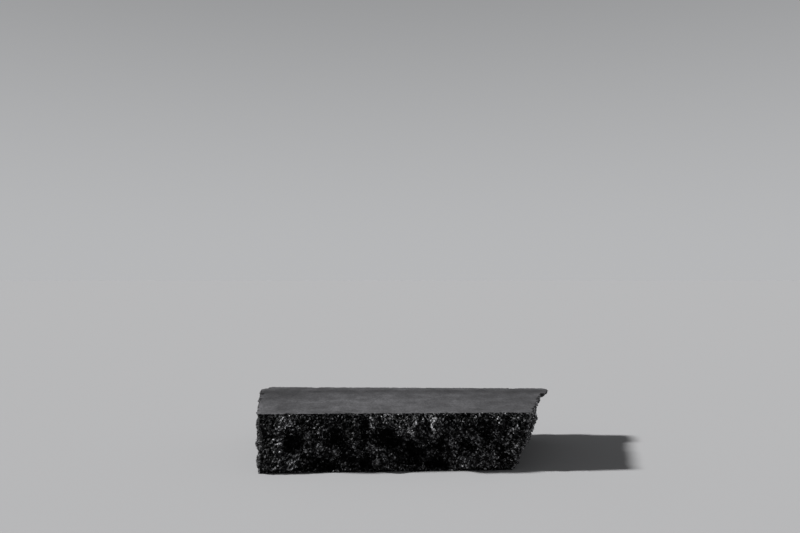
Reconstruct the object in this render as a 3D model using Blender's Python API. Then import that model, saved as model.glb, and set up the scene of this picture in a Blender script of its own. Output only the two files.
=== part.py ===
"""A slab of split-face basalt: sawn top and bottom, and four broken sides.

It is one natural stone, so it is one solid. Metres, +Z up, front at -Y. The origin is under the
middle of the slab, on the plane that it stands on.
"""

import math
from collections import namedtuple

import bmesh
import bpy
from mathutils import Matrix, Vector, noise

MM = 0.001

THICKNESS = 50 * MM  # between the two sawn faces
STEP = 3.4 * MM  # spacing of the relief's grid along a side and up it
RIM_ROW = 1.3 * MM  # height of the first row beside each sawn face, which keeps the arris crisp
NORMAL_PASSES = 40  # rounding of the plan, for the direction in which the relief stands
ON_SIDE = (0.5, 0.95)  # how squarely a point faces out of a side: its relief starts, and is full

# Corners of the sawn top, in millimetres, anticlockwise seen from above. The back left corner is
# knocked off, which makes the fifth one.
FRONT_LEFT = (-124, -81)
FRONT_RIGHT = (108, -73)
BACK_RIGHT = (142, 72)
BACK_LEFT = (-139, 82)
LEFT_BACK = (-146, 64)

# A dent (depth below 0) or a boss (above 0) on a side. along is measured from the side's left end
# as seen from outside, up from the base, and tilt turns its long way anticlockwise, in degrees.
# One whose middle is on the sawn top shapes the top's edge as well; the others fade out below it.
Relief = namedtuple("Relief", "along up half_long half_wide tilt depth")

# A side runs from one corner to the next. profile lists (share of the height, how far the side
# stands out there at its start, and at its end), in millimetres from the edge of the sawn top.
Side = namedtuple("Side", "start end profile reliefs")

FRONT = Side(
    FRONT_LEFT,
    FRONT_RIGHT,
    [(0.0, -0.8, -6.0), (0.12, 0.0, -3.5), (0.5, -1.0, -1.0), (0.9, -0.2, -0.2), (1.0, 0.0, 0.0)],
    [
        Relief(6, 29, 5, 4, 30, -3.0),
        Relief(33, 24, 11, 8, -40, -7.5),
        Relief(49, 4, 14, 9, 0, -9.0),
        Relief(62, 31, 7, 5, 80, -5.0),
        Relief(76, 16, 15, 5, -54, -7.0),
        Relief(89, 35, 9, 4, 85, -5.5),
        Relief(93, 9, 6, 4, 60, -5.5),
        Relief(106, 31, 11, 7, -25, -8.0),
        Relief(121, 19, 14, 9, -40, -10.5),
        Relief(134, 16, 7, 5, -50, -6.0),
        Relief(151, 9, 12, 8, 88, -9.0),
        Relief(156, 25, 6, 3, 90, -5.5),
        Relief(177, 21, 6, 5, 0, -5.0),
        Relief(191, 34, 10, 6, 75, -7.0),
        Relief(206, 17, 8, 4, -60, -4.0),
        Relief(16, 42, 13, 6, 10, 2.0),
        Relief(21, 8, 15, 8, 5, 3.2),
        Relief(47, 26, 9, 6, 70, 3.5),
        Relief(80, 31, 9, 4, 80, 3.0),
        Relief(107, 7, 9, 7, 0, 3.5),
        Relief(133, 40, 17, 8, -8, 4.5),
        Relief(151, 40, 9, 4, 85, 4.0),
        Relief(171, 38, 9, 6, 20, 2.0),
        Relief(187, 8, 11, 8, 0, 4.5),
        Relief(188, 22, 16, 4, -50, 3.5),
        Relief(218, 30, 12, 6, 80, 2.5),
    ],
)
RIGHT = Side(
    FRONT_RIGHT,
    BACK_RIGHT,
    [
        (0.0, -16.5, -21.0),
        (0.12, -12.5, -17.0),
        (0.27, -10.0, -14.0),
        (0.4, -7.5, -12.0),
        (0.55, -4.5, -9.5),
        (0.72, -2.5, -7.0),
        (0.85, -0.5, -2.0),
        (0.94, 0.3, 1.0),
        (1.0, 0.0, 0.5),
    ],
    [
        Relief(18, 30, 9, 6, 60, 1.0),
        Relief(34, 18, 13, 8, 35, -6.0),
        Relief(52, 36, 10, 5, 75, -4.5),
        Relief(66, 12, 14, 8, 0, 3.5),
        Relief(84, 28, 14, 9, -30, -7.0),
        Relief(106, 16, 12, 7, 40, 4.5),
        Relief(112, 38, 12, 5, 0, -4.0),
        Relief(132, 24, 11, 9, 60, -3.0),
        Relief(130, 50, 12, 3.5, 0, 6.3),
    ],
)
BACK = Side(
    BACK_RIGHT,
    BACK_LEFT,
    [(0.0, -5.0, -3.5), (0.15, -2.5, -1.5), (0.45, -0.5, 0.5), (0.85, 0.0, 0.0), (1.0, 0.0, 0.0)],
    [
        Relief(22, 20, 15, 9, 20, -6.0),
        Relief(48, 32, 16, 8, -30, 3.5),
        Relief(62, 10, 18, 8, 0, -7.0),
        Relief(90, 28, 20, 10, 45, -8.0),
        Relief(116, 12, 14, 8, 70, 4.5),
        Relief(128, 38, 16, 6, 0, -4.0),
        Relief(150, 20, 18, 10, -50, -9.0),
        Relief(176, 34, 14, 8, 10, 4.0),
        Relief(190, 8, 16, 7, 0, -6.0),
        Relief(214, 26, 17, 9, 60, -7.5),
        Relief(240, 14, 15, 9, 30, 4.5),
        Relief(262, 34, 12, 8, -45, -5.0),
    ],
)
CLIPPED = Side(
    BACK_LEFT,
    LEFT_BACK,
    [(0.0, -1.0, -1.0), (0.5, 0.5, 0.5), (0.8, 0.5, 0.5), (1.0, 0.0, 0.0)],
    [Relief(10, 22, 8, 6, 0, -2.0)],
)
LEFT = Side(
    LEFT_BACK,
    FRONT_LEFT,
    [(0.0, -2.5, -1.5), (0.12, -1.5, -1.5), (0.5, -0.5, -2.0), (0.9, -0.5, -1.0), (1.0, 0.0, 0.0)],
    [
        Relief(16, 14, 14, 8, -20, -6.5),
        Relief(38, 34, 15, 8, 30, -2.0),
        Relief(50, 12, 13, 8, 65, 2.5),
        Relief(68, 24, 15, 10, -45, -8.0),
        Relief(92, 38, 13, 6, 0, -4.5),
        Relief(98, 10, 15, 7, 10, -5.5),
        Relief(118, 26, 13, 8, 55, 1.5),
        Relief(136, 12, 8, 6, 0, -2.5),
    ],
)
SIDES = (FRONT, RIGHT, BACK, CLIPPED, LEFT)

# Broken basalt is lumpy at every size: (size of the lumps, how far they stand), in millimetres.
LUMPS = ((26, 2.4), (11, 1.7), (5.5, 0.9))
LUMP_FADE = 4.0  # below a sawn face, the height in which the lumps reach their full depth
ARRIS_LUMPS = ((14, 0.7), (5, 0.5))  # the nibbled edge of each sawn face, in plan

STONE_COLOUR = (0.035, 0.035, 0.037, 1.0)
STONE_ROUGHNESS = 0.88


def smoothed(points, passes):
    """A closed line of points with each moved half way to the middle of its neighbours."""
    for _ in range(passes):
        points = [
            (points[i - 1] + 2 * points[i] + points[(i + 1) % len(points)]) / 4
            for i in range(len(points))
        ]
    return points


def eased(low, high, value):
    """From 0 at low to 1 at high, level at both."""
    share = min(1.0, max(0.0, (value - low) / (high - low)))
    return share * share * (3 - 2 * share)


def run_of(side):
    """The way along a side in plan, and the way out of it."""
    run = (Vector(side.end) - Vector(side.start)).normalized()
    return run, Vector((run.y, -run.x))


def stands_out(profile, height_share):
    """How far a side stands out at its start and at its end, between the heights listed."""
    for (low, *low_ends), (high, *high_ends) in zip(profile, profile[1:]):
        if height_share <= high:
            break
    up = (height_share - low) / (high - low)
    return [a + (b - a) * up for a, b in zip(low_ends, high_ends)]


def corners_at(height_share):
    """The plan's corners at a height: each is where the two sides beside it, moved out, meet."""
    corners = []
    for before, after in zip(SIDES[-1:] + SIDES[:-1], SIDES):
        moves = (
            stands_out(before.profile, height_share)[1],
            stands_out(after.profile, height_share)[0],
        )
        ways_out = Matrix((run_of(before)[1], run_of(after)[1]))
        corners.append(Vector(after.start) + ways_out.inverted() @ Vector(moves))
    return corners


def outline_at(height_share):
    """Points round the plan at a height in millimetres, and the way out at each."""
    corners = corners_at(height_share)
    points = []
    for i, side in enumerate(SIDES):
        start, end = corners[i], corners[(i + 1) % len(corners)]
        count = round((Vector(side.end) - Vector(side.start)).length * MM / STEP)
        points += [start.lerp(end, step / count) for step in range(count)]
    wide = smoothed(points, NORMAL_PASSES)
    outward = []
    for i in range(len(wide)):
        ahead = wide[(i + 1) % len(wide)] - wide[i - 1]
        outward.append(Vector((ahead.y, -ahead.x)).normalized())
    return points, outward


def relief_at(relief, along, up):
    """A dent's or boss's own depth at a place on its side: an ellipse with a rounded top."""
    tilt = math.radians(relief.tilt)
    right, rise = along - relief.along, up - relief.up
    long_way = (right * math.cos(tilt) + rise * math.sin(tilt)) / relief.half_long
    wide_way = (rise * math.cos(tilt) - right * math.sin(tilt)) / relief.half_wide
    reach = (long_way**2 + wide_way**2) / 2
    return relief.depth * math.exp(-reach * reach)


def lumps_at(place, lumps):
    """Layers of smooth noise, the coarse one first."""
    return sum(
        depth * noise.noise(place / size + Vector((depth, size, 0))) for size, depth in lumps
    )


def roughness_at(point, outward, up):
    """How far the broken stone stands out from its outline at one point and one height."""
    height = THICKNESS / MM
    fade = eased(0.0, LUMP_FADE, min(up, height - up))
    place = Vector((point.x, point.y, up))
    offset = fade * lumps_at(place, LUMPS) + (1 - fade) * lumps_at(place, ARRIS_LUMPS)
    for side in SIDES:
        run, out = run_of(side)
        along = (point - Vector(side.start)).dot(run)
        share = eased(*ON_SIDE, outward.dot(out))
        for relief in side.reliefs if share > 0 else ():
            depth = relief_at(relief, along, up)
            offset += share * depth * (1 if relief.up == height else fade)
    return offset


def row_heights():
    """Heights of the relief's rows, in millimetres, with a low row beside each sawn face."""
    height, rim = THICKNESS / MM, RIM_ROW / MM
    count = round((height - 2 * rim) / (STEP / MM))
    between = [rim + (height - 2 * rim) * i / count for i in range(count + 1)]
    return [0.0, *between, height]


def stone_mesh():
    """A ring for each row, drawn up from the base's and then moved to its own outline, and a flat
    face at each end."""
    bm = bmesh.new()
    station = bm.verts.layers.int.new("station")
    for i, point in enumerate(outline_at(0.0)[0]):
        bm.verts.new((point.x, point.y, 0.0))[station] = i
    base = bm.faces.new(bm.verts)
    edges, ring = list(base.edges), list(base.verts)
    for up in row_heights():
        if up > 0:
            made = bmesh.ops.extrude_edge_only(bm, edges=edges)["geom"]
            edges = [item for item in made if isinstance(item, bmesh.types.BMEdge)]
            ring = [item for item in made if isinstance(item, bmesh.types.BMVert)]
        outline, outward = outline_at(up * MM / THICKNESS)
        for vert in ring:
            point, out = outline[vert[station]], outward[vert[station]]
            vert.co = (point + out * roughness_at(point, out, up)).to_3d()
            vert.co.z = up
    bmesh.ops.edgeloop_fill(bm, edges=edges)
    bmesh.ops.recalc_face_normals(bm, faces=bm.faces)
    xs, ys = ([vert.co[axis] for vert in bm.verts] for axis in (0, 1))
    middle = Vector(((min(xs) + max(xs)) / 2, (min(ys) + max(ys)) / 2, 0.0))
    for vert in bm.verts:
        vert.co = (vert.co - middle) * MM
    mesh = bpy.data.meshes.new("basalt_slab")
    bm.to_mesh(mesh)
    bm.free()
    return mesh


def basalt():
    material = bpy.data.materials.new("basalt")
    material.use_nodes = True
    shader = material.node_tree.nodes["Principled BSDF"]
    shader.inputs["Base Color"].default_value = STONE_COLOUR
    shader.inputs["Roughness"].default_value = STONE_ROUGHNESS
    shader.inputs["Metallic"].default_value = 0.0
    return material


def main():
    for item in list(bpy.data.objects):
        bpy.data.objects.remove(item)
    parts = bpy.data.collections.new("basalt_slab")
    bpy.context.scene.collection.children.link(parts)
    slab = bpy.data.objects.new("basalt_slab", stone_mesh())
    slab.data.materials.append(basalt())
    parts.objects.link(slab)


main()
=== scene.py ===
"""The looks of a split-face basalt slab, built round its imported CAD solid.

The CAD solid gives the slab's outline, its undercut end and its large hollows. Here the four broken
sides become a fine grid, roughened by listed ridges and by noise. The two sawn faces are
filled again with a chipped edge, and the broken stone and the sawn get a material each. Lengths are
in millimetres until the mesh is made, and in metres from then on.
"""

import itertools
import math
from typing import NamedTuple

import bmesh
import bpy
import numpy as np
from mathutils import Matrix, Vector
from mathutils.bvhtree import BVHTree
from mathutils.geometry import delaunay_2d_cdt
from mathutils.kdtree import KDTree

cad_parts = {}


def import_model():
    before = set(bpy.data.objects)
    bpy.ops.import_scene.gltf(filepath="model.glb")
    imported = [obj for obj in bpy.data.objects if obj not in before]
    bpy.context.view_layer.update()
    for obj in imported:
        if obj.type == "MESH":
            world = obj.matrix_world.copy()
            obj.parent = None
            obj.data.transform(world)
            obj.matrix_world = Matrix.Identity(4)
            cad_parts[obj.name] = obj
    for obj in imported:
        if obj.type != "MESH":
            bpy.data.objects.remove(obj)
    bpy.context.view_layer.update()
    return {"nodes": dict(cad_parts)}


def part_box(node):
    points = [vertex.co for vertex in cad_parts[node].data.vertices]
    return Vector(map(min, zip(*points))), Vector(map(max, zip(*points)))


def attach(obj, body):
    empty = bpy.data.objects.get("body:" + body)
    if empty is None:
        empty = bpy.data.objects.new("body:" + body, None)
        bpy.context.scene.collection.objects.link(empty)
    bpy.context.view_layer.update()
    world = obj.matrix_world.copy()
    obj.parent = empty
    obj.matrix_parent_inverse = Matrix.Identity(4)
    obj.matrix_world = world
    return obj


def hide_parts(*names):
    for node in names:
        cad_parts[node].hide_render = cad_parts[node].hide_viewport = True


MM = 0.001

# ---------------------------------------------------------------- noise

SCRAMBLERS = (73856093, 19349663, 83492791, 2654435761, 1274126177)  # large odd numbers, to mix bits
LOW_20_BITS, LOW_32_BITS = 2**20 - 1, 2**32 - 1
CLOUD_GAIN = 1.6  # brings clouds to about -1 to 1


def scrambled(cells, seed):
    """A number from 0 to 1 for each whole-number place, the same one each time."""
    x, y, z = (cells[..., i].astype(np.int64) & LOW_20_BITS for i in range(3))
    for_x, for_y, for_z, for_seed, for_all = SCRAMBLERS
    mixed = (x * for_x) ^ (y * for_y) ^ (z * for_z) ^ (seed * for_seed)
    mixed = ((mixed ^ (mixed >> 13)) & LOW_32_BITS) * for_all & LOW_32_BITS
    return (mixed ^ (mixed >> 16)) / 2.0**32


def clouds(places, seed):
    """Smooth noise from about -1 to 1, with lumps one unit across."""
    cell = np.floor(places)
    inside = places - cell
    weight = inside**3 * (inside * (inside * 6 - 15) + 10)
    total = 0.0
    for corner in itertools.product((0, 1), repeat=3):
        share, value = 1.0, 0.0
        for axis, side in enumerate(corner):
            share = share * (weight[..., axis] if side else 1 - weight[..., axis])
            slope = scrambled(cell + corner, 3 * seed + axis) * 2 - 1
            value = value + slope * (inside[..., axis] - side)
        total = total + share * value
    return total * CLOUD_GAIN


def three_clouds(places, seed):
    """A vector of smooth noise at each place."""
    return np.stack([clouds(places, seed + 11 * i) for i in range(3)], axis=-1)


def grains(places, seed):
    """Cells one unit across: the distance to the nearest middle and to the next, the way from the
    nearest, and that cell's own three numbers."""
    base = np.floor(places)
    nearest = np.full(places.shape[:-1], np.inf)
    second = nearest.copy()
    way, own = np.zeros_like(places), np.zeros_like(places)
    for step in itertools.product((-1, 0, 1), repeat=3):
        cell = base + step
        numbers = np.stack([scrambled(cell, seed + i) for i in range(3)], axis=-1)
        off = places - cell - numbers
        distance = np.sqrt((off * off).sum(-1))
        nearer = distance < nearest
        second = np.where(nearer, nearest, np.minimum(second, distance))
        nearest = np.where(nearer, distance, nearest)
        way[nearer], own[nearer] = off[nearer], numbers[nearer]
    return nearest, second, way, own


def eased(low, high, value):
    """From 0 at low to 1 at high, level at both."""
    share = np.clip((value - low) / (high - low), 0.0, 1.0)
    return share * share * (3 - 2 * share)


def facets(places, seed, pick, step, slope, dome=0.0, groove=0.0, width=0.3):
    """Depths of a surface broken into facets one unit across. Each has a height and a slope of its
    own, is a little domed, and has a groove of a width round it. pick is which of a cell's own
    numbers sets its height."""
    near, far, way, own = grains(places, seed)
    depth = step * (own[..., pick] - 0.5) - dome * near**2 + groove * eased(0.0, width, far - near)
    return depth + slope * (way * (own - 0.5)).sum(-1)


# ---------------------------------------------------------------- the broken sides

# The way each side faces, and the spacing of the grid along it.
FACING = (
    ((0, -1), 0.62),  # the front
    ((1, 0), 0.72),  # the right end
    ((0, 1), 0.86),  # the back
    ((-1, 0), 0.80),  # the left end
)
ROW = 0.66  # spacing of the grid up a side
EDGE_ROWS = (0.0, 0.35)  # how far the rows next to a sawn plane lie from it
EVEN_ROWS = 0.9  # how far from it the evenly spaced rows begin
ON_PLANE = 0.01  # a point no further than this from a sawn plane lies on it
PLAN_POINTS = 1200  # round the outline of the slab, as it is first read
TURNS = 6  # how sharply the spacing changes from one side's to the next at a corner
NEAR_PASSES, WIDE_PASSES = 200, 6000  # of smoothing, to find the way a line faces near by and broadly
START_OUT = 80.0  # how far outside the slab the measuring rays start
RAY_INSET = 0.05  # how far inside the two sawn planes the outermost rays pass
STEADY_PASSES = 2  # of smoothing the measured grid


def smoothed_loop(loop, passes):
    """A closed line with each point drawn towards its two neighbours, over and over."""
    for _ in range(passes):
        loop = (np.roll(loop, 1, axis=0) + 2 * loop + np.roll(loop, -1, axis=0)) / 4
    return loop


def evened(loop, places):
    """Points of a closed line at the given shares of its length."""
    closed = np.vstack([loop, loop[:1]])
    run = np.concatenate([[0], np.cumsum(np.linalg.norm(np.diff(closed, axis=0), axis=1))])
    return np.stack([np.interp(places * run[-1], run, closed[:, i]) for i in range(2)], axis=-1)


def outward_of(loop):
    """The way out at each point of a closed line that runs anticlockwise."""
    ahead = np.roll(loop, -1, axis=0) - np.roll(loop, 1, axis=0)
    out = np.stack([ahead[:, 1], -ahead[:, 0]], axis=-1)
    return out / np.linalg.norm(out, axis=1, keepdims=True)


def plan_of(node, height):
    """The sawn top's outline as evenly spaced points, anticlockwise from above."""
    places = np.array([vert.co for vert in node.data.vertices]) / MM
    ring = places[places[:, 2] > height - ON_PLANE][:, :2]
    middle = ring.mean(axis=0)
    angle = np.arctan2(*(ring - middle).T[::-1])
    ring = ring[np.argsort(angle)]
    return evened(ring, np.linspace(0, 1, PLAN_POINTS, endpoint=False))


def stations_of(plan):
    """Where the grid's columns stand on the plan, closer together on the sides that show most."""
    out = outward_of(smoothed_loop(plan, NEAR_PASSES))
    nearness = np.stack([out @ np.array(way) for way, _ in FACING], axis=-1).clip(0) ** TURNS
    spacing = (nearness * [gap for _, gap in FACING]).sum(-1) / nearness.sum(-1)
    step = np.linalg.norm(np.roll(plan, -1, axis=0) - plan, axis=1)
    run = np.concatenate([[0], np.cumsum(step / spacing)])
    count = round(run[-1])
    shares = np.linspace(0, 1, len(plan) + 1)
    return np.interp(np.arange(count) * run[-1] / count, run, shares)


def rows_of(height):
    """The heights of the grid's rows, closest together next to the sawn planes."""
    count = round((height - 2 * EVEN_ROWS) / ROW)
    even = np.linspace(EVEN_ROWS, height - EVEN_ROWS, count)
    return np.concatenate([EDGE_ROWS, even, height - np.array(EDGE_ROWS[::-1])])


def measured(node, height):
    """The CAD solid's sides, read off as a grid of points: rows upwards, columns round the plan.
    And the way out at each column."""
    plan = plan_of(node, height)
    wide = smoothed_loop(plan, WIDE_PASSES)
    stations = stations_of(plan)
    starts = evened(wide, stations)
    outward = outward_of(starts)
    tree = BVHTree.FromPolygons(
        [vert.co / MM for vert in node.data.vertices],
        [tuple(face.vertices) for face in node.data.polygons],
    )
    rows = rows_of(height)
    grid = np.zeros((len(rows), len(starts), 3))
    for i, up in enumerate(rows):
        level = min(max(up, RAY_INSET), height - RAY_INSET)
        for j, (start, out) in enumerate(zip(starts, outward)):
            begin = Vector((*(start + START_OUT * out), level))
            hit = tree.ray_cast(begin, Vector((*-out, 0.0)), 4 * START_OUT)[0]
            grid[i, j] = (hit.x, hit.y, up)
    return grid, np.concatenate([outward, np.zeros((len(outward), 1))], axis=1)


def smoothed_grid(grid, passes):
    """The grid with each point drawn towards its neighbours, the two sawn planes' rows only along
    themselves."""
    for _ in range(passes):
        grid = (np.roll(grid, 1, axis=1) + 2 * grid + np.roll(grid, -1, axis=1)) / 4
        grid[1:-1] = (grid[:-2] + 2 * grid[1:-1] + grid[2:]) / 4
    return grid


def softened(grid, rows, size):
    """The grid blurred over a distance, up the sides and round them. Beyond each sawn plane it is
    carried on as its own half turn, so that it keeps its place there."""
    top = rows[-1]
    levels = np.concatenate([-rows[:0:-1], rows, 2 * top - rows[-2::-1]])
    longer = np.concatenate([2 * grid[0] - grid[:0:-1], grid, 2 * grid[-1] - grid[-2::-1]])
    share = np.exp(-0.5 * ((rows[:, None] - levels) / size) ** 2)
    share = share * np.gradient(levels)
    grid = np.tensordot(share / share.sum(axis=1, keepdims=True), longer, axes=1)
    gap = np.linalg.norm(np.diff(grid[0], axis=0), axis=1).mean()
    waves = np.fft.rfftfreq(grid.shape[1], gap)
    damping = np.exp(-2 * (np.pi * waves * size) ** 2)[:, None]
    return np.fft.irfft(np.fft.rfft(grid, axis=1) * damping, grid.shape[1], axis=1)


def normals_of(grid):
    """The way out of the sides at each point of the grid."""
    along = np.roll(grid, -1, axis=1) - np.roll(grid, 1, axis=1)
    upward = np.gradient(grid, axis=0)
    normal = np.cross(along, upward)
    return normal / np.linalg.norm(normal, axis=-1, keepdims=True)


FREE_FROM = 4.5  # how far from a sawn plane the sides may first move every way


def moved(grid, rows, outward, depth, sideways=0.0):
    """The grid moved out by a depth and sideways by a vector, but only straight out at the two
    sawn planes, so that it neither leaves them nor crosses itself there."""
    free = eased(0.0, FREE_FROM, np.minimum(rows, rows[-1] - rows))[:, None, None]
    way = free * normals_of(grid) + (1 - free) * outward
    return grid + way * depth[..., None] + free * sideways


# Seen from the front, the grain of the break rises to the right on its left third and falls to the
# right on the rest.
GRAIN_TILT = 52.0  # how steep it is, in degrees
GRAIN_TURNS = (-60.0, -25.0)  # where along X it turns from rising to falling

# Broken ridges on the front. Each climbs to a crest and drops off sharply on its right: the crest's
# two ends as (x, z), the width of the climb on its left, and its height.
CRESTS = (
    ((-121.5, 44), (-121, 6), 2, 1.6),
    ((-100, 48), (-103, 22), 9, 3.2),
    ((-90, 14), (-94, 6), 9, 3.0),
    ((-80, 31), (-82, 22), 4, 5.0),
    ((-67, 34), (-70, 12), 7, 2.4),
    ((-56, 17), (-63, 5), 6, 1.6),
    ((-35, 42), (-42, 18), 9, 1.4),
    ((-26, 25), (-21, 7), 8, 1.6),
    ((-23, 46), (-27, 35), 8, 2.2),
    ((12, 48), (6, 30), 14, 4.0),
    ((28, 49), (24, 30), 6, 3.2),
    ((55, 14), (53, 4), 9, 2.2),
    ((60, 47), (63, 34), 8, 2.5),
)
CREST_DROP = 2.2  # the width of the drop on a crest's right
CREST_FADE = 4.0  # how far past its ends a crest fades away


def crests(grid, normal):
    """How far the ridges of CRESTS, bent by noise, stand out of the front."""
    bend = grid + 1.6 * three_clouds(grid / 5.0, 431)
    x, z = bend[..., 0], bend[..., 2]
    depth = np.zeros(x.shape)
    for (top_x, top_z), (low_x, low_z), climb, height in CRESTS:
        up = np.clip((z - low_z) / (top_z - low_z), 0, 1)
        past = x - low_x - (top_x - low_x) * up
        beyond = (z - low_z - (top_z - low_z) * up) / CREST_FADE
        slope = eased(-climb, 0.0, past) * eased(CREST_DROP, 0.0, past)
        depth = np.maximum(depth, height * slope * np.exp(-(beyond**2)))
    return depth * eased(0.5, 0.9, -normal[..., 1])


def along_grain(grid, longer):
    """The grid squeezed along the grain of the break, so that noise at its places comes out longer
    that way."""
    turn = np.radians(GRAIN_TILT) * (1 - 2 * eased(*GRAIN_TURNS, grid[..., 0]))
    way = np.stack([np.cos(turn), np.zeros_like(turn), np.sin(turn)], axis=-1)
    middle = (sum(GRAIN_TURNS) / 2, 0.0, 25.0)  # stays in its place
    run = ((grid - middle) * way).sum(-1, keepdims=True)
    return grid - (1 - 1 / longer) * run * way


RIDGE = (17.0, 6.0, 12.0)  # a ridge's length, its width and its reach into the stone


def ridges(grid, normal):
    """Slanting ridges, along the grain of the break, in three sizes."""
    x, y, z = (grid[..., i] for i in range(3))
    total = 0.0
    for facing, along in ((1, x), (0, y)):
        share = normal[..., facing] ** 2
        turned = eased(*GRAIN_TURNS, x)
        for tilt, part in ((GRAIN_TILT, 1 - turned), (-GRAIN_TILT, turned)):
            turn = math.radians(tilt)
            run = along * math.cos(turn) + z * math.sin(turn)
            across = z * math.cos(turn) - along * math.sin(turn)
            places = np.stack([run, across, grid[..., facing]], axis=-1) / RIDGE
            for i in range(3):
                value = 0.5 - np.abs(clouds(places * 2.1**i, 401 + i)) * 2
                total = total + share * part * value / 1.7**i
    return total


KNOB, SMALL_KNOB = np.array((9.5, 9.5, 8.5)), 3.8
GRAIN, FINE_GRAIN, PIT = 1.8, 1.2, 2.3
CALM_X, CALM_Y = (-112.0, -122.0), (10.0, -40.0)  # where the front's left corner grows smoother


def lumpy(grid, rows, outward):
    """The grid with knobs of two sizes, the ridges and the crests. The front has flatter knobs than
    the other sides, and near the sawn planes all of it is lower."""
    edge = np.minimum(rows, rows[-1] - rows)[:, None]
    normal = normals_of(grid)
    bend = grid + 3.0 * three_clouds(grid / 11.0, 5)
    big = facets(bend / KNOB, 21, 0, step=1.2, slope=3.0, dome=0.8, groove=0.9)
    bend = along_grain(grid + 1.4 * three_clouds(grid / 4.0, 15), 1.4)
    small = facets(bend / SMALL_KNOB, 51, 1, step=0.9, slope=2.6, dome=0.3, groove=0.3, width=0.25)
    front = eased(0.2, 0.8, -normal[..., 1])
    depth = (1.1 - 0.5 * front) * big + (0.75 - 0.35 * front) * small + ridges(grid, normal)
    depth = depth + crests(grid, normal)
    depth = depth - depth.mean()
    calm = eased(*CALM_X, grid[..., 0]) * eased(*CALM_Y, grid[..., 1])
    depth = depth * (1 - 0.6 * calm)
    depth = depth * (0.3 + 0.7 * eased(0.0, 5.0, edge)) - 0.3 * eased(0.0, 3.0, edge)
    return moved(grid, rows, outward, depth, 0.8 * three_clouds(grid / 5.0, 91))


def grained(grid, rows, outward):
    """The grid with a crust of small facets of two sizes, longer along the grain of the break, and
    with pits between them."""
    bend = along_grain(grid + 0.7 * three_clouds(grid / 2.6, 131), 1.7)
    crust = facets(bend / GRAIN, 151, 0, step=1.1, slope=2.4, dome=0.2, groove=0.25, width=0.2)
    crust = crust + facets(bend / FINE_GRAIN, 171, 2, step=0.8, slope=1.0)
    patchy = 0.8 + 0.5 * clouds(grid / 13.0, 191)
    pits = eased(0.3, 0.7, clouds(grid / PIT, 211))
    depth = crust * patchy - pits
    depth = depth - depth.mean()
    return moved(grid, rows, outward, depth)


UNFOLD_PASSES = 10  # at most, to smooth the creases away
CREASE_KEPT = 0.4  # how much of its own place a point in a crease keeps, each time


def grid_faces(count_rows, count):
    """The squares of a grid that closes round the slab, each as the numbers of its four corners."""
    row, here = np.divmod(np.arange((count_rows - 1) * count), count)
    ahead = (here + 1) % count
    low, high = row * count, (row + 1) * count
    return np.stack([low + here, low + ahead, high + ahead, high + here], axis=-1)


def unfolded(grid):
    """The grid with the few creases where it crosses itself smoothed until it doesn't, whichever
    way its squares are cut in two."""
    count_rows, count = grid.shape[:2]
    squares = grid_faces(count_rows, count)
    halves = squares[:, ((0, 1, 2), (0, 2, 3), (0, 1, 3), (1, 2, 3))].reshape(-1, 3).tolist()
    for _ in range(UNFOLD_PASSES):
        tree = BVHTree.FromPolygons(grid.reshape(-1, 3).tolist(), halves)
        first, second = np.array(tree.overlap(tree)).T // 4  # four cut halves for each square
        rows_apart = np.abs(first // count - second // count)
        apart = (first - second) % count
        is_clash = (rows_apart > 1) | (np.minimum(apart, count - apart) > 1)
        i, j = np.divmod(np.unique(squares[first[is_clash]]), count)
        is_free = (i > 0) & (i < count_rows - 1)
        i, j = i[is_free], j[is_free]
        if not len(i):
            break
        around = grid[i - 1, j] + grid[i + 1, j] + grid[i, j - 1] + grid[i, (j + 1) % count]
        grid[i, j] = CREASE_KEPT * grid[i, j] + (1 - CREASE_KEPT) / 4 * around
    return grid


# ---------------------------------------------------------------- the sawn faces

CAP_STEP = 3.4  # spacing of the points inside a sawn face
CHIP_STEP = 0.8  # and where its edge is chipped
STEP_GAP = 0.5  # between the one spacing and the other
TRIANGLE_ROW = 0.866  # how far apart rows of points stand for even triangles, with a spacing of 1
RING_PASSES = 3  # of smoothing a face's edge, to find the way out of it
INSIDE_ONLY, SAME_PLACE = 1, 1e-5  # for a triangulation: what it keeps, and when two points are one
BASE_CHIPPING = 0.4  # how deep the base's edge is chipped, with the top's as 1
SAWN_DEPTH = 0.22  # under the sawn plane, where the sawn skin gives way to broken stone


class Cap(NamedTuple):
    """What fills a sawn face. Its ring's points are numbered before its own."""

    spots: np.ndarray  # the points that it adds
    faces: np.ndarray  # its triangles
    depth: np.ndarray  # how deep each point of the ring, and then of its own, is chipped
    distance: np.ndarray  # how far each of its own points lies from the ring


def chips_round(ring, out):
    """How far in from the edge the chip at each point of it reaches, and how deep it is there. The
    right end has crumbled finely, with no large chips."""
    any_level = np.full((len(ring), 1), 3.3)
    flat = np.concatenate([ring[:, :2], any_level], axis=1)
    nibble = eased(0.0, 0.7, clouds(flat / 2.4, 301))
    chip = eased(0.25, 0.8, clouds(flat / 9.0, 321)) * (0.6 + 0.8 * nibble)
    chip = chip * (1 - 0.8 * eased(0.3, 0.8, out[:, 0]))
    reach = 0.7 + 1.3 * nibble + 3.6 * chip
    drop = 0.12 + 0.75 * nibble + 1.4 * chip
    return reach, drop


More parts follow.
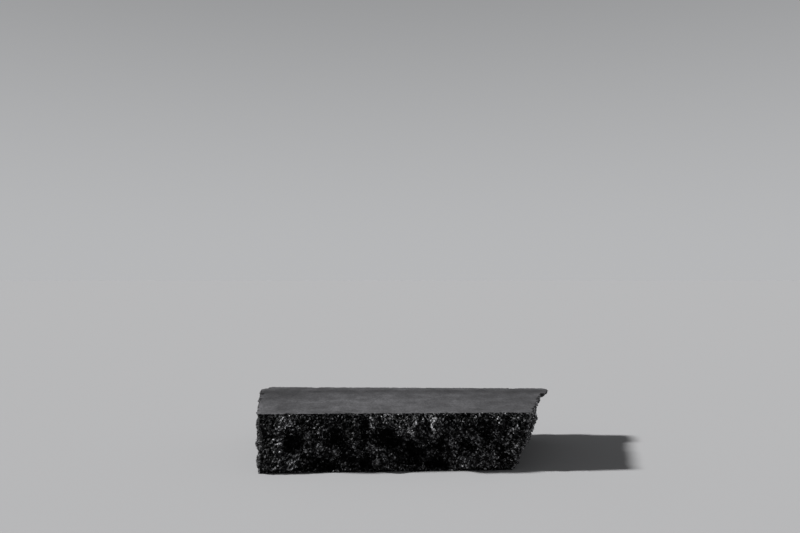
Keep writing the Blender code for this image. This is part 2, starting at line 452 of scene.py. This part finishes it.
def cap_points(ring, out, reach):
    """Places to fill a sawn face with, close together only where its edge is chipped: as x and y,
    with the number of the edge's nearest point and the distance to it."""
    tree = KDTree(len(ring))
    for i, point in enumerate(ring):
        tree.insert((point[0], point[1], 0.0), i)
    tree.balance()
    low, high = ring[:, :2].min(axis=0), ring[:, :2].max(axis=0)
    kept = []
    for step, is_fine in ((CHIP_STEP, True), (CAP_STEP, False)):
        for row, y in enumerate(np.arange(low[1], high[1], step * TRIANGLE_ROW)):
            for x in np.arange(low[0] + step * (row % 2) / 2, high[0], step):
                _, i, distance = tree.find((x, y, 0.0))
                is_in = (x - ring[i, 0]) * out[i, 0] + (y - ring[i, 1]) * out[i, 1] < 0
                limit = reach[i] + CHIP_STEP
                if not is_in or distance < CHIP_STEP / 2:
                    continue
                if (distance < limit) if is_fine else (distance > limit + STEP_GAP):
                    kept.append((x, y, i, distance))
    x, y, nearest, distance = np.array(kept).T
    return np.stack([x, y], axis=-1), nearest.astype(int), distance


# Where the stone is made darker or lighter: a patch's middle and half widths, and by how much. On
# the sawn top, darker along its back and at its right end, they are along X and Y.
TOP_PATCHES = (
    (-116, 22, 34, 34, -0.30),
    (0, 48, 190, 17, -0.34),
    (-40, 76, 110, 5, 0.14),
    (-50, -17, 48, 11, 0.09),
    (104, 0, 36, 70, -0.24),
    (-122, -62, 9, 14, 0.14),
    (-100, -42, 13, 16, -0.16),
    (0, -25, 90, 26, 0.05),
    (-139, 36, 6, 12, -0.3),
    (-120, -8, 14, 14, -0.15),
    (-65, 50, 45, 10, -0.08),
    (16, 36, 12, 12, -0.14),
    (66, 36, 28, 12, 0.12),
)
# Painted light and shade on the broken front: lighter where ridges catch the raking light, darker in
# their cast shadows. They are along X and Z.
PAINTED_LIGHT_PATCHES = (
    (-118, 45, 7, 6, -0.7),
    (-117, 32, 6, 15, -0.8),
    (-117, 10, 6, 9, -0.5),
    (-116, 3, 5, 4, 0.7),
    (-107, 42, 5, 6, -0.95),
    (-106, 29, 4, 7, 1.2),
    (-96, 41, 4, 8, 4.0),
    (-94, 12, 6, 4, 1.6),
    (-89, 20, 3, 4, -0.6),
    (-88, 5, 4, 7, 3.0),
    (-87, 43, 5, 5, -0.85),
    (-82, 12, 4, 4, 5.0),
    (-81, 26, 3, 4, 1.0),
    (-77, 25, 3, 6, -0.5),
    (-72, 24, 4, 9, -0.3),
    (-64, 36, 4, 5, 0.8),
    (-61, 17, 4, 4, -0.3),
    (-51, 40, 5, 8, -0.4),
    (-47, 34, 5, 9, -0.95),
    (-37, 20, 6, 5, -0.7),
    (-27, 36, 7, 9, 1.3),
    (-22, 7, 5, 6, -0.75),
    (-7, 42, 7, 5, -0.5),
    (-5, 29, 4, 4, 9.0),
    (5, 34, 6, 4, -0.45),
    (11, 19, 4, 3, 2.0),
    (12, 41, 4, 6, 0.5),
    (16, 28, 7, 4, -0.9),
    (33, 43, 7, 7, 1.0),
    (37, 4, 6, 4, -0.4),
    (53, 38, 6, 8, -1.3),
    (50, 13, 7, 6, 0.6),
    (55, 25, 8, 4, 3.5),
    (75, 25, 40, 30, 0.25),
    (79, 21, 4, 4, 1.2),
    (93, 30, 8, 12, -0.5),
)
PATCH_SPREAD = 1.2  # how softly a patch ends
LEAST_TONE = 0.2  # as dark as patches may make the stone


def tone_of(across, up, patches):
    """How light a list of patches makes the stone at each place, with the plain stone as 1."""
    tone = np.ones_like(across)
    for x, y, half_x, half_y, amount in patches:
        apart = ((across - x) / half_x) ** 2 + ((up - y) / half_y) ** 2
        tone += amount * np.exp(-apart / PATCH_SPREAD)
    return tone.clip(LEAST_TONE)


def cap_of(ring, level, chipping):
    """The sawn face inside a ring at a level, with its edge chipped."""
    out = outward_of(smoothed_loop(ring[:, :2], RING_PASSES))
    reach, drop = chips_round(ring, out)
    drop = drop * chipping
    inner, nearest, distance = cap_points(ring, out, reach)
    flat = [Vector(point) for point in (*ring[:, :2], *inner)]
    count = len(ring)
    edges = [(i, (i + 1) % count) for i in range(count)]
    _, _, faces, origins, _, _ = delaunay_2d_cdt(flat, edges, [], INSIDE_ONLY, SAME_PLACE)
    if not all(origins):
        raise RuntimeError(f"{origins.count([])} places where the edge at {level} crosses itself")
    came_from = [origin[0] for origin in origins]
    faces = np.array([[came_from[i] for i in face] for face in faces])
    spots = np.concatenate([inner, np.full((len(inner), 1), level)], axis=1)
    share = np.clip(1 - distance / reach[nearest], 0, 1)
    rough = 0.35 * (clouds(spots / 1.7, 341) + 0.6 * clouds(spots / 0.9, 351))
    depth = drop[nearest] * share**0.8 * np.clip(1 + rough, 0.2, 2)
    return Cap(spots, faces, np.concatenate([drop, depth]), distance)


# ---------------------------------------------------------------- the mesh

SHEET = 380.0  # millimetres of stone across the texture that an export bakes
TOP_SHEET, BASE_SHEET = ((5.0, 5.0), 1.0), ((5.0, 292.0), 0.44)  # a sawn face's corner and scale

# Each side's strip on the texture: where it starts, and the ways along it and up it.
STRIPS = (
    ((5, 180), (1, 0), (0, 1)),  # the front
    ((365, 5), (0, 1), (-1, 0)),  # the right end
    ((5, 236), (1, 0), (0, 1)),  # the back
    ((365, 185), (0, 1), (-1, 0)),  # the left end
)

NEAR_BLUR, WIDE_BLUR = 1.4, 8.0  # distances over which the sides are blurred, to find their relief
SINK_REACH = 7.0  # how far from a sawn plane the sides still sink with its chipped edge
SHARP_ANGLE = 58.0  # degrees between two faces, from which their edge is shaded as sharp


def sheet_of_sides(fine, rows, outward):
    """Where each corner of the sides' faces lies on the texture."""
    ring = smoothed_loop(fine[len(rows) // 2, :, :2], NEAR_PASSES)
    step = np.linalg.norm(np.roll(ring, -1, axis=0) - ring, axis=1)
    run = np.cumsum(step) - step
    side = (outward[:, :2] @ np.array([way for way, _ in FACING]).T).argmax(axis=1)
    places = np.zeros((len(rows) - 1, len(run), 4, 2))
    for i, (corner, along, up) in enumerate(np.array(STRIPS, float)):
        mine = side == i
        start = run[mine & (np.roll(side, 1) != i)][0]
        from_start = (run - start) % step.sum()
        for turn, (ahead, above) in enumerate(((0, 0), (1, 0), (1, 1), (0, 1))):
            length = (from_start + ahead * step)[None, mine, None]
            height = rows[above : len(rows) - 1 + above, None, None]
            places[:, mine, turn] = corner + length * along + height * up
    return places.reshape(-1, 2)


def sheet_of_cap(verts, faces, corner_and_scale):
    """Where each corner of a sawn face's triangles lies on the texture."""
    corner, scale = corner_and_scale
    spots = verts[faces.ravel(), :2]
    return (spots - verts[:, :2].min(axis=0)) * scale + corner


def drop_loose_points(mesh):
    """Removes the points that no face uses."""
    bm = bmesh.new()
    bm.from_mesh(mesh)
    loose = [vert for vert in bm.verts if not vert.link_faces]
    bmesh.ops.delete(bm, geom=loose, context="VERTS")
    bm.to_mesh(mesh)
    bm.free()


def relief_of(fine, rows, size):
    """How far each point of the sides stands out of them as they are when blurred over a distance,
    and the way that they face then."""
    blurred = softened(fine, rows, size)
    facing = normals_of(blurred)
    return ((fine - blurred) * facing).sum(-1), facing


def near_top(rows, reach):
    """From 0 at a distance under the sawn top to 1 just under it."""
    return eased(rows[-1] - reach, rows[-1] - 1.0, rows)


def painted_light_of(fine, rows, facing):
    """Painted light and shade at each point of the sides, with the plain stone as 1: the front's
    patches, the right end made lighter, most just under the sawn top, and the left end darker,
    against how the key light falls on them.
    """
    front, right = eased(0.1, 0.5, -facing[..., 1]), eased(0.3, 0.8, facing[..., 0])
    left = eased(0.5, 0.9, -facing[..., 0])
    painted_light = 1 + front * (tone_of(fine[..., 0], fine[..., 2], PAINTED_LIGHT_PATCHES) - 1)
    return painted_light + right * (0.5 + 1.7 * near_top(rows, 8.0)[:, None]) - 0.25 * left


def cap_faces(cap, count, ring_start, spots_start, order):
    """A cap's triangles with the whole mesh's numbers, and whether each is still sawn. order is -1
    to turn them over."""
    faces = cap.faces[:, ::order]
    is_sawn = cap.depth[faces].mean(axis=1) < SAWN_DEPTH
    return faces + np.where(faces < count, ring_start, spots_start - count), is_sawn


def stone_mesh(node, height):
    """The whole slab as one closed mesh, with what its materials need to know at each point."""
    rows = rows_of(height)
    grid, outward = measured(node, height)
    grid = smoothed_grid(grid, STEADY_PASSES)
    fine = unfolded(grained(lumpy(grid, rows, outward), rows, outward))
    count_rows, count = fine.shape[:2]
    relief, _ = relief_of(fine, rows, NEAR_BLUR)
    wide_relief, facing = relief_of(fine, rows, WIDE_BLUR)
    top, base = cap_of(fine[-1], height, 1.0), cap_of(fine[0], 0.0, BASE_CHIPPING)

    # The rows next to a chipped edge sink with it.
    sink = eased(height - SINK_REACH, height, rows)[:, None] * top.depth[:count]
    rise = eased(SINK_REACH, 0.0, rows)[:, None] * base.depth[:count]
    fine[..., 2] += rise - sink
    top.spots[:, 2] -= top.depth[count:]
    base.spots[:, 2] += base.depth[count:]

    verts = np.concatenate([fine.reshape(-1, 3), top.spots, base.spots])
    side_faces = grid_faces(count_rows, count)
    last_row, first_top = (count_rows - 1) * count, count_rows * count
    first_base = first_top + len(top.spots)
    top_faces, top_sawn = cap_faces(top, count, last_row, first_top, 1)
    base_faces, base_sawn = cap_faces(base, count, 0, first_base, -1)
    faces = side_faces.tolist() + top_faces.tolist() + base_faces.tolist()
    is_sawn = np.concatenate([np.zeros(len(side_faces), bool), top_sawn, base_sawn])
    sheet = [
        sheet_of_sides(fine, rows, outward),
        sheet_of_cap(verts, top_faces, TOP_SHEET),
        sheet_of_cap(verts, base_faces, BASE_SHEET),
    ]

    mesh = bpy.data.meshes.new("split_basalt")
    mesh.from_pydata((verts * MM).tolist(), [], faces)
    mesh.uv_layers.new(name="OFBake").data.foreach_set("uv", np.concatenate(sheet).ravel() / SHEET)
    mesh.polygons.foreach_set("use_smooth", [True] * len(faces))
    mesh.polygons.foreach_set("material_index", is_sawn.astype(int))
    on_caps = np.zeros(len(top.spots) + len(base.spots))
    # Painted highlight: the broken sides made lighter just under the sawn top, where their grains
    # catch the light.
    painted_rim_highlight = np.repeat(near_top(rows, 6.0), count)
    # Painted light and shade on the sides, for the broken stone's material.
    painted_light = painted_light_of(fine, rows, facing)
    for name, values in (
        ("relief", np.concatenate([relief.ravel(), on_caps])),
        ("wide_relief", np.concatenate([wide_relief.ravel(), on_caps])),
        ("painted_rim_highlight", np.concatenate([painted_rim_highlight, on_caps])),
        ("painted_light", np.concatenate([painted_light.ravel(), on_caps + 1])),
        ("from_edge", np.concatenate([np.zeros(first_top), top.distance, base.distance])),
        ("tone", tone_of(verts[:, 0], verts[:, 1], TOP_PATCHES)),
    ):
        mesh.attributes.new(name, "FLOAT", "POINT").data.foreach_set("value", values)
    mesh.validate()
    drop_loose_points(mesh)
    mesh.set_sharp_from_angle(angle=math.radians(SHARP_ANGLE))
    return mesh


# ---------------------------------------------------------------- materials


class Nodes:
    """A material's nodes. Each method adds some and gives their output."""

    def __init__(self, name):
        self.material = bpy.data.materials.new(name)
        self.material.use_nodes = True
        self.tree = self.material.node_tree
        self.shader = self.tree.nodes["Principled BSDF"]
        coordinates = self.tree.nodes.new("ShaderNodeTexCoord").outputs["Object"]
        self.places = self.add("VectorMath", operation="SCALE", Vector=coordinates, Scale=1 / MM)

    def add(self, kind, output=0, values=(), **given):
        """A new node's output. Names in lower case set the node's properties, other names set its
        inputs, and values sets its first inputs in turn."""
        node = self.tree.nodes.new("ShaderNode" + kind)
        for key, value in given.items():
            if key[0].islower():
                setattr(node, key, value)
        for key, value in given.items():
            if not key[0].islower():
                self.set(node.inputs[key.replace("_", " ")], value)
        for socket, value in zip(node.inputs, values):
            self.set(socket, value)
        return node.outputs[output]

    def set(self, socket, value):
        """Links an output to a socket, or sets the socket to a plain value."""
        if isinstance(value, bpy.types.NodeSocket):
            self.tree.links.new(value, socket)
        else:
            socket.default_value = value

    def maths(self, operation, *values):
        return self.add("Math", operation=operation, values=values)

    def product(self, first, *others):
        for other in others:
            first = self.maths("MULTIPLY", first, other)
        return first

    def noise(self, size, detail=2.0, roughness=0.5, stretch=(1.0, 1.0, 1.0), tilt=0.0):
        """Smooth noise from 0 to 1 with lumps of a size in millimetres, stretched along each axis
        and then tilted as seen from the front, in degrees."""
        places = self.places
        if stretch != (1.0, 1.0, 1.0):
            turn = (0.0, math.radians(-tilt), 0.0)
            places = self.add(
                "Mapping", vector_type="TEXTURE", Vector=places, Rotation=turn, Scale=stretch
            )
        return self.add(
            "TexNoise", Vector=places, Scale=1 / size, Detail=detail, Roughness=roughness
        )

    def cells(self, size, output="Distance"):
        """Cells of a size in millimetres: the distance to the nearest one's middle, or its Color."""
        return self.add("TexVoronoi", output, Vector=self.places, Scale=1 / size)

    def spread(self, value, low, high, to_low=0.0, to_high=1.0):
        """A value's range taken to another, and held at its ends."""
        return self.add("MapRange", values=(value, low, high, to_low, to_high))

    def attribute(self, name):
        return self.add("Attribute", "Fac", attribute_name=name)

    def mixed(self, share, first, second):
        """From the first value to the second as a share goes from 0 to 1."""
        return self.add("Mix", Factor=share, A=first, B=second)

    def grey(self, value, tint=(1.0, 1.0, 1.03)):
        """A number as a colour with a slight tint."""
        parts = [self.maths("MULTIPLY", value, channel) for channel in tint]
        return self.add("CombineColor", values=parts)

    def finish(self, colour, roughness, heights, specular):
        """The material. heights has a height and its depth in millimetres for each layer of bump,
        the coarse one first."""
        self.set(self.shader.inputs["Base Color"], colour)
        self.set(self.shader.inputs["Roughness"], roughness)
        self.shader.inputs["Specular IOR Level"].default_value = specular
        normal = None
        for height, depth in heights:
            given = {"Normal": normal} if normal else {}
            normal = self.add("Bump", Height=height, Distance=depth * MM, Strength=1.0, **given)
        self.set(self.shader.inputs["Normal"], normal)
        return self.material


HONED_GREY = 0.0725  # of the sawn faces
SAWN_TINT = (1.005, 0.995, 1.045)


def split_material():
    """Freshly broken basalt: near black with pale flecks. Painted shade darkens its pits and hollows,
    painted highlights make the tips of its grains and the band under the sawn top grey, and painted
    light and shade patch its sides.
    """
    nodes = Nodes("basalt_split")
    own = nodes.add("SeparateColor", values=(nodes.cells(1.25, "Color"),))
    grain = nodes.spread(nodes.maths("POWER", own, 3.0), 0.0, 1.0, 0.2, 3.6)
    fine = nodes.spread(nodes.noise(0.9, 2.0, 0.65), 0.36, 0.64, 0.2, 1.8)
    x = nodes.add("SeparateXYZ", values=(nodes.places,))
    long = (5.0, 1.0, 1.0)
    hackle = nodes.mixed(
        nodes.spread(x, *GRAIN_TURNS),
        nodes.noise(1.3, 2.0, 0.6, long, GRAIN_TILT),
        nodes.noise(1.3, 2.0, 0.6, long, -GRAIN_TILT),
    )
    streak = nodes.spread(hackle, 0.35, 0.65, 0.4, 1.55)
    # Painted shade and highlight: darker in the pits, where shade falls, and lighter on the grains'
    # tips and just under the sawn top, where they catch the light.
    painted_relief_light = nodes.maths("MULTIPLY_ADD", nodes.attribute("painted_rim_highlight"), 0.2, nodes.attribute("relief"))
    tip = nodes.spread(painted_relief_light, -0.4, 0.68)
    stone = nodes.spread(nodes.maths("POWER", tip, 2.2), 0.0, 1.0, 0.005, 0.085)
    # Painted shade: darker in the broad hollows, which lie in shadow under the raking light, and a
    # little lighter on the broad bulges.
    wide = nodes.spread(nodes.attribute("wide_relief"), -3.2, 1.5, 0.1, 1.2)
    # The attribute in the last factor is painted light and shade on the sides.
    value = nodes.product(stone, wide, grain, fine, streak, nodes.attribute("painted_light"))
    roughness = nodes.spread(own, 0.8, 1.0, 0.8, 0.6)
    bumps = (
        (hackle, 0.6),
        (nodes.spread(nodes.cells(1.6), 0.0, 0.8, 1.0, 0.0), 0.6),
        (nodes.spread(nodes.cells(0.9), 0.0, 0.8, 1.0, 0.0), 0.3),
    )
    return nodes.finish(nodes.grey(value), roughness, bumps, specular=0.05)


def sawn_material():
    """Sawn and honed basalt: an even grey with fine speckle, faint streaks and pinholes."""
    nodes = Nodes("basalt_sawn")
    deep = (1.0, 2.2, 1.0)
    broad = nodes.spread(nodes.noise(28.0, 1.0, 0.5), 0.3, 0.7, 0.8, 1.2)
    middle = nodes.spread(nodes.noise(8.0, 2.0, 0.5, deep), 0.3, 0.7, 0.8, 1.2)
    speckle = nodes.spread(nodes.noise(1.8, 3.0, 0.75, deep), 0.3, 0.7, 0.65, 1.35)
    streak = nodes.spread(nodes.noise(4.0, 3.0, 0.6, (8.0, 1.0, 1.0)), 0.3, 0.7, 0.92, 1.08)
    pinhole = nodes.spread(nodes.cells(4.5), 0.05, 0.11, 0.45, 1.0)
    # Lighter just inside the sawn face's edge: partly wear, and partly a painted highlight where the
    # arris catches the light.
    wear_and_edge_highlight = nodes.spread(nodes.attribute("from_edge"), 0.3, 3.0, 1.15, 1.0)
    tone = nodes.attribute("tone")
    value = nodes.product(broad, middle, speckle, streak, pinhole, wear_and_edge_highlight, tone, HONED_GREY)
    roughness = nodes.spread(nodes.noise(3.0), 0.3, 0.7, 0.68, 0.82)
    bumps = (
        (nodes.noise(3.0, 3.0, 0.6, (12.0, 1.0, 1.0)), 0.06),
        (nodes.noise(0.8, 3.0, 0.7), 0.08),
        (pinhole, 0.2),
    )
    return nodes.finish(nodes.grey(value, SAWN_TINT), roughness, bumps, specular=0.1)


def plain_material(name, colour, roughness):
    material = bpy.data.materials.new(name)
    material.use_nodes = True
    shader = material.node_tree.nodes["Principled BSDF"]
    shader.inputs["Base Color"].default_value = (*colour, 1.0)
    shader.inputs["Roughness"].default_value = roughness
    shader.inputs["Specular IOR Level"].default_value = 0.0
    return material


# ---------------------------------------------------------------- floor, light and camera


def link(name, data):
    obj = bpy.data.objects.new(name, data)
    bpy.context.scene.collection.objects.link(obj)
    return obj


FLOOR_COLOUR = (0.38, 0.38, 0.385)
FLOOR_SINK = 0.0001  # under the slab's base, so that the two don't flicker through each other
FAR = 60.0  # how far the floor and the camera's sight reach
KEY_POWER, KEY_SOFTNESS = 7.0, 5.0  # its softness is its size in the sky, in degrees
KEY_TURN, KEY_FALL = 5.0, 29.0  # the way it shines: turned from +X towards +Y, and down, in degrees
SKY_COLOUR = (0.97, 0.98, 1.0, 1.0)
HORIZON, OVERHEAD = 0.485, 0.12  # how bright the sky is. The horizon's meets the far floor's
SKY_RISE = 0.75  # how high in the sky it has fallen to the overhead one's, as the sine of an angle
CAMERA_PLACE = (-0.0036, -0.7344, 0.1634)
CAMERA_TILT = 90.88  # up from straight down, in degrees


def make_floor():
    mesh = bpy.data.meshes.new("floor")
    corners = [(-FAR, -FAR, 0), (FAR, -FAR, 0), (FAR, FAR, 0), (-FAR, FAR, 0)]
    mesh.from_pydata(corners, [], [(0, 1, 2, 3)])
    mesh.materials.append(plain_material("pale_floor", FLOOR_COLOUR, 0.9))
    floor = link("floor", mesh)
    floor.location.z = -FLOOR_SINK


def make_key():
    """A soft key light from the left, which rakes along the front."""
    data = bpy.data.lights.new("key", "SUN")
    data.energy, data.angle = KEY_POWER, math.radians(KEY_SOFTNESS)
    key = link("key", data)
    turn, fall = math.radians(KEY_TURN), math.radians(KEY_FALL)
    level = math.cos(fall)
    way = Vector((level * math.cos(turn), level * math.sin(turn), -math.sin(fall)))
    key.rotation_euler = way.to_track_quat("-Z", "Y").to_euler()


def make_sky():
    """A background that is as bright as the floor at the horizon, and dimmer above."""
    world = bpy.data.worlds.new("studio")
    world.use_nodes = True
    tree = world.node_tree
    background = tree.nodes["Background"]
    way = tree.nodes.new("ShaderNodeTexCoord").outputs["Generated"]
    apart = tree.nodes.new("ShaderNodeSeparateXYZ")
    ramp = tree.nodes.new("ShaderNodeMapRange")
    ramp.interpolation_type = "SMOOTHSTEP"
    for socket, value in zip(ramp.inputs[1:5], (0.0, SKY_RISE, HORIZON, OVERHEAD)):
        socket.default_value = value
    tree.links.new(way, apart.inputs[0])
    tree.links.new(apart.outputs["Z"], ramp.inputs[0])
    tree.links.new(ramp.outputs[0], background.inputs["Strength"])
    background.inputs["Color"].default_value = SKY_COLOUR
    bpy.context.scene.world = world


def make_camera():
    data = bpy.data.cameras.new("camera")
    data.lens, data.sensor_width = 35.0, 36.0
    data.clip_start, data.clip_end = 0.01, FAR
    camera = link("camera", data)
    camera.location = CAMERA_PLACE
    camera.rotation_euler = (math.radians(CAMERA_TILT), 0.0, 0.0)
    bpy.context.scene.camera = camera


def main():
    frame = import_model()
    node = frame["nodes"]["basalt_slab"]
    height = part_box("basalt_slab")[1].z / MM

    stone = link("split_basalt", stone_mesh(node, height))
    stone.data.materials.append(split_material())
    stone.data.materials.append(sawn_material())
    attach(stone, "root")
    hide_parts("basalt_slab")

    make_floor()
    make_key()
    make_sky()
    make_camera()
    bpy.context.scene.view_settings.view_transform = "Standard"


main()
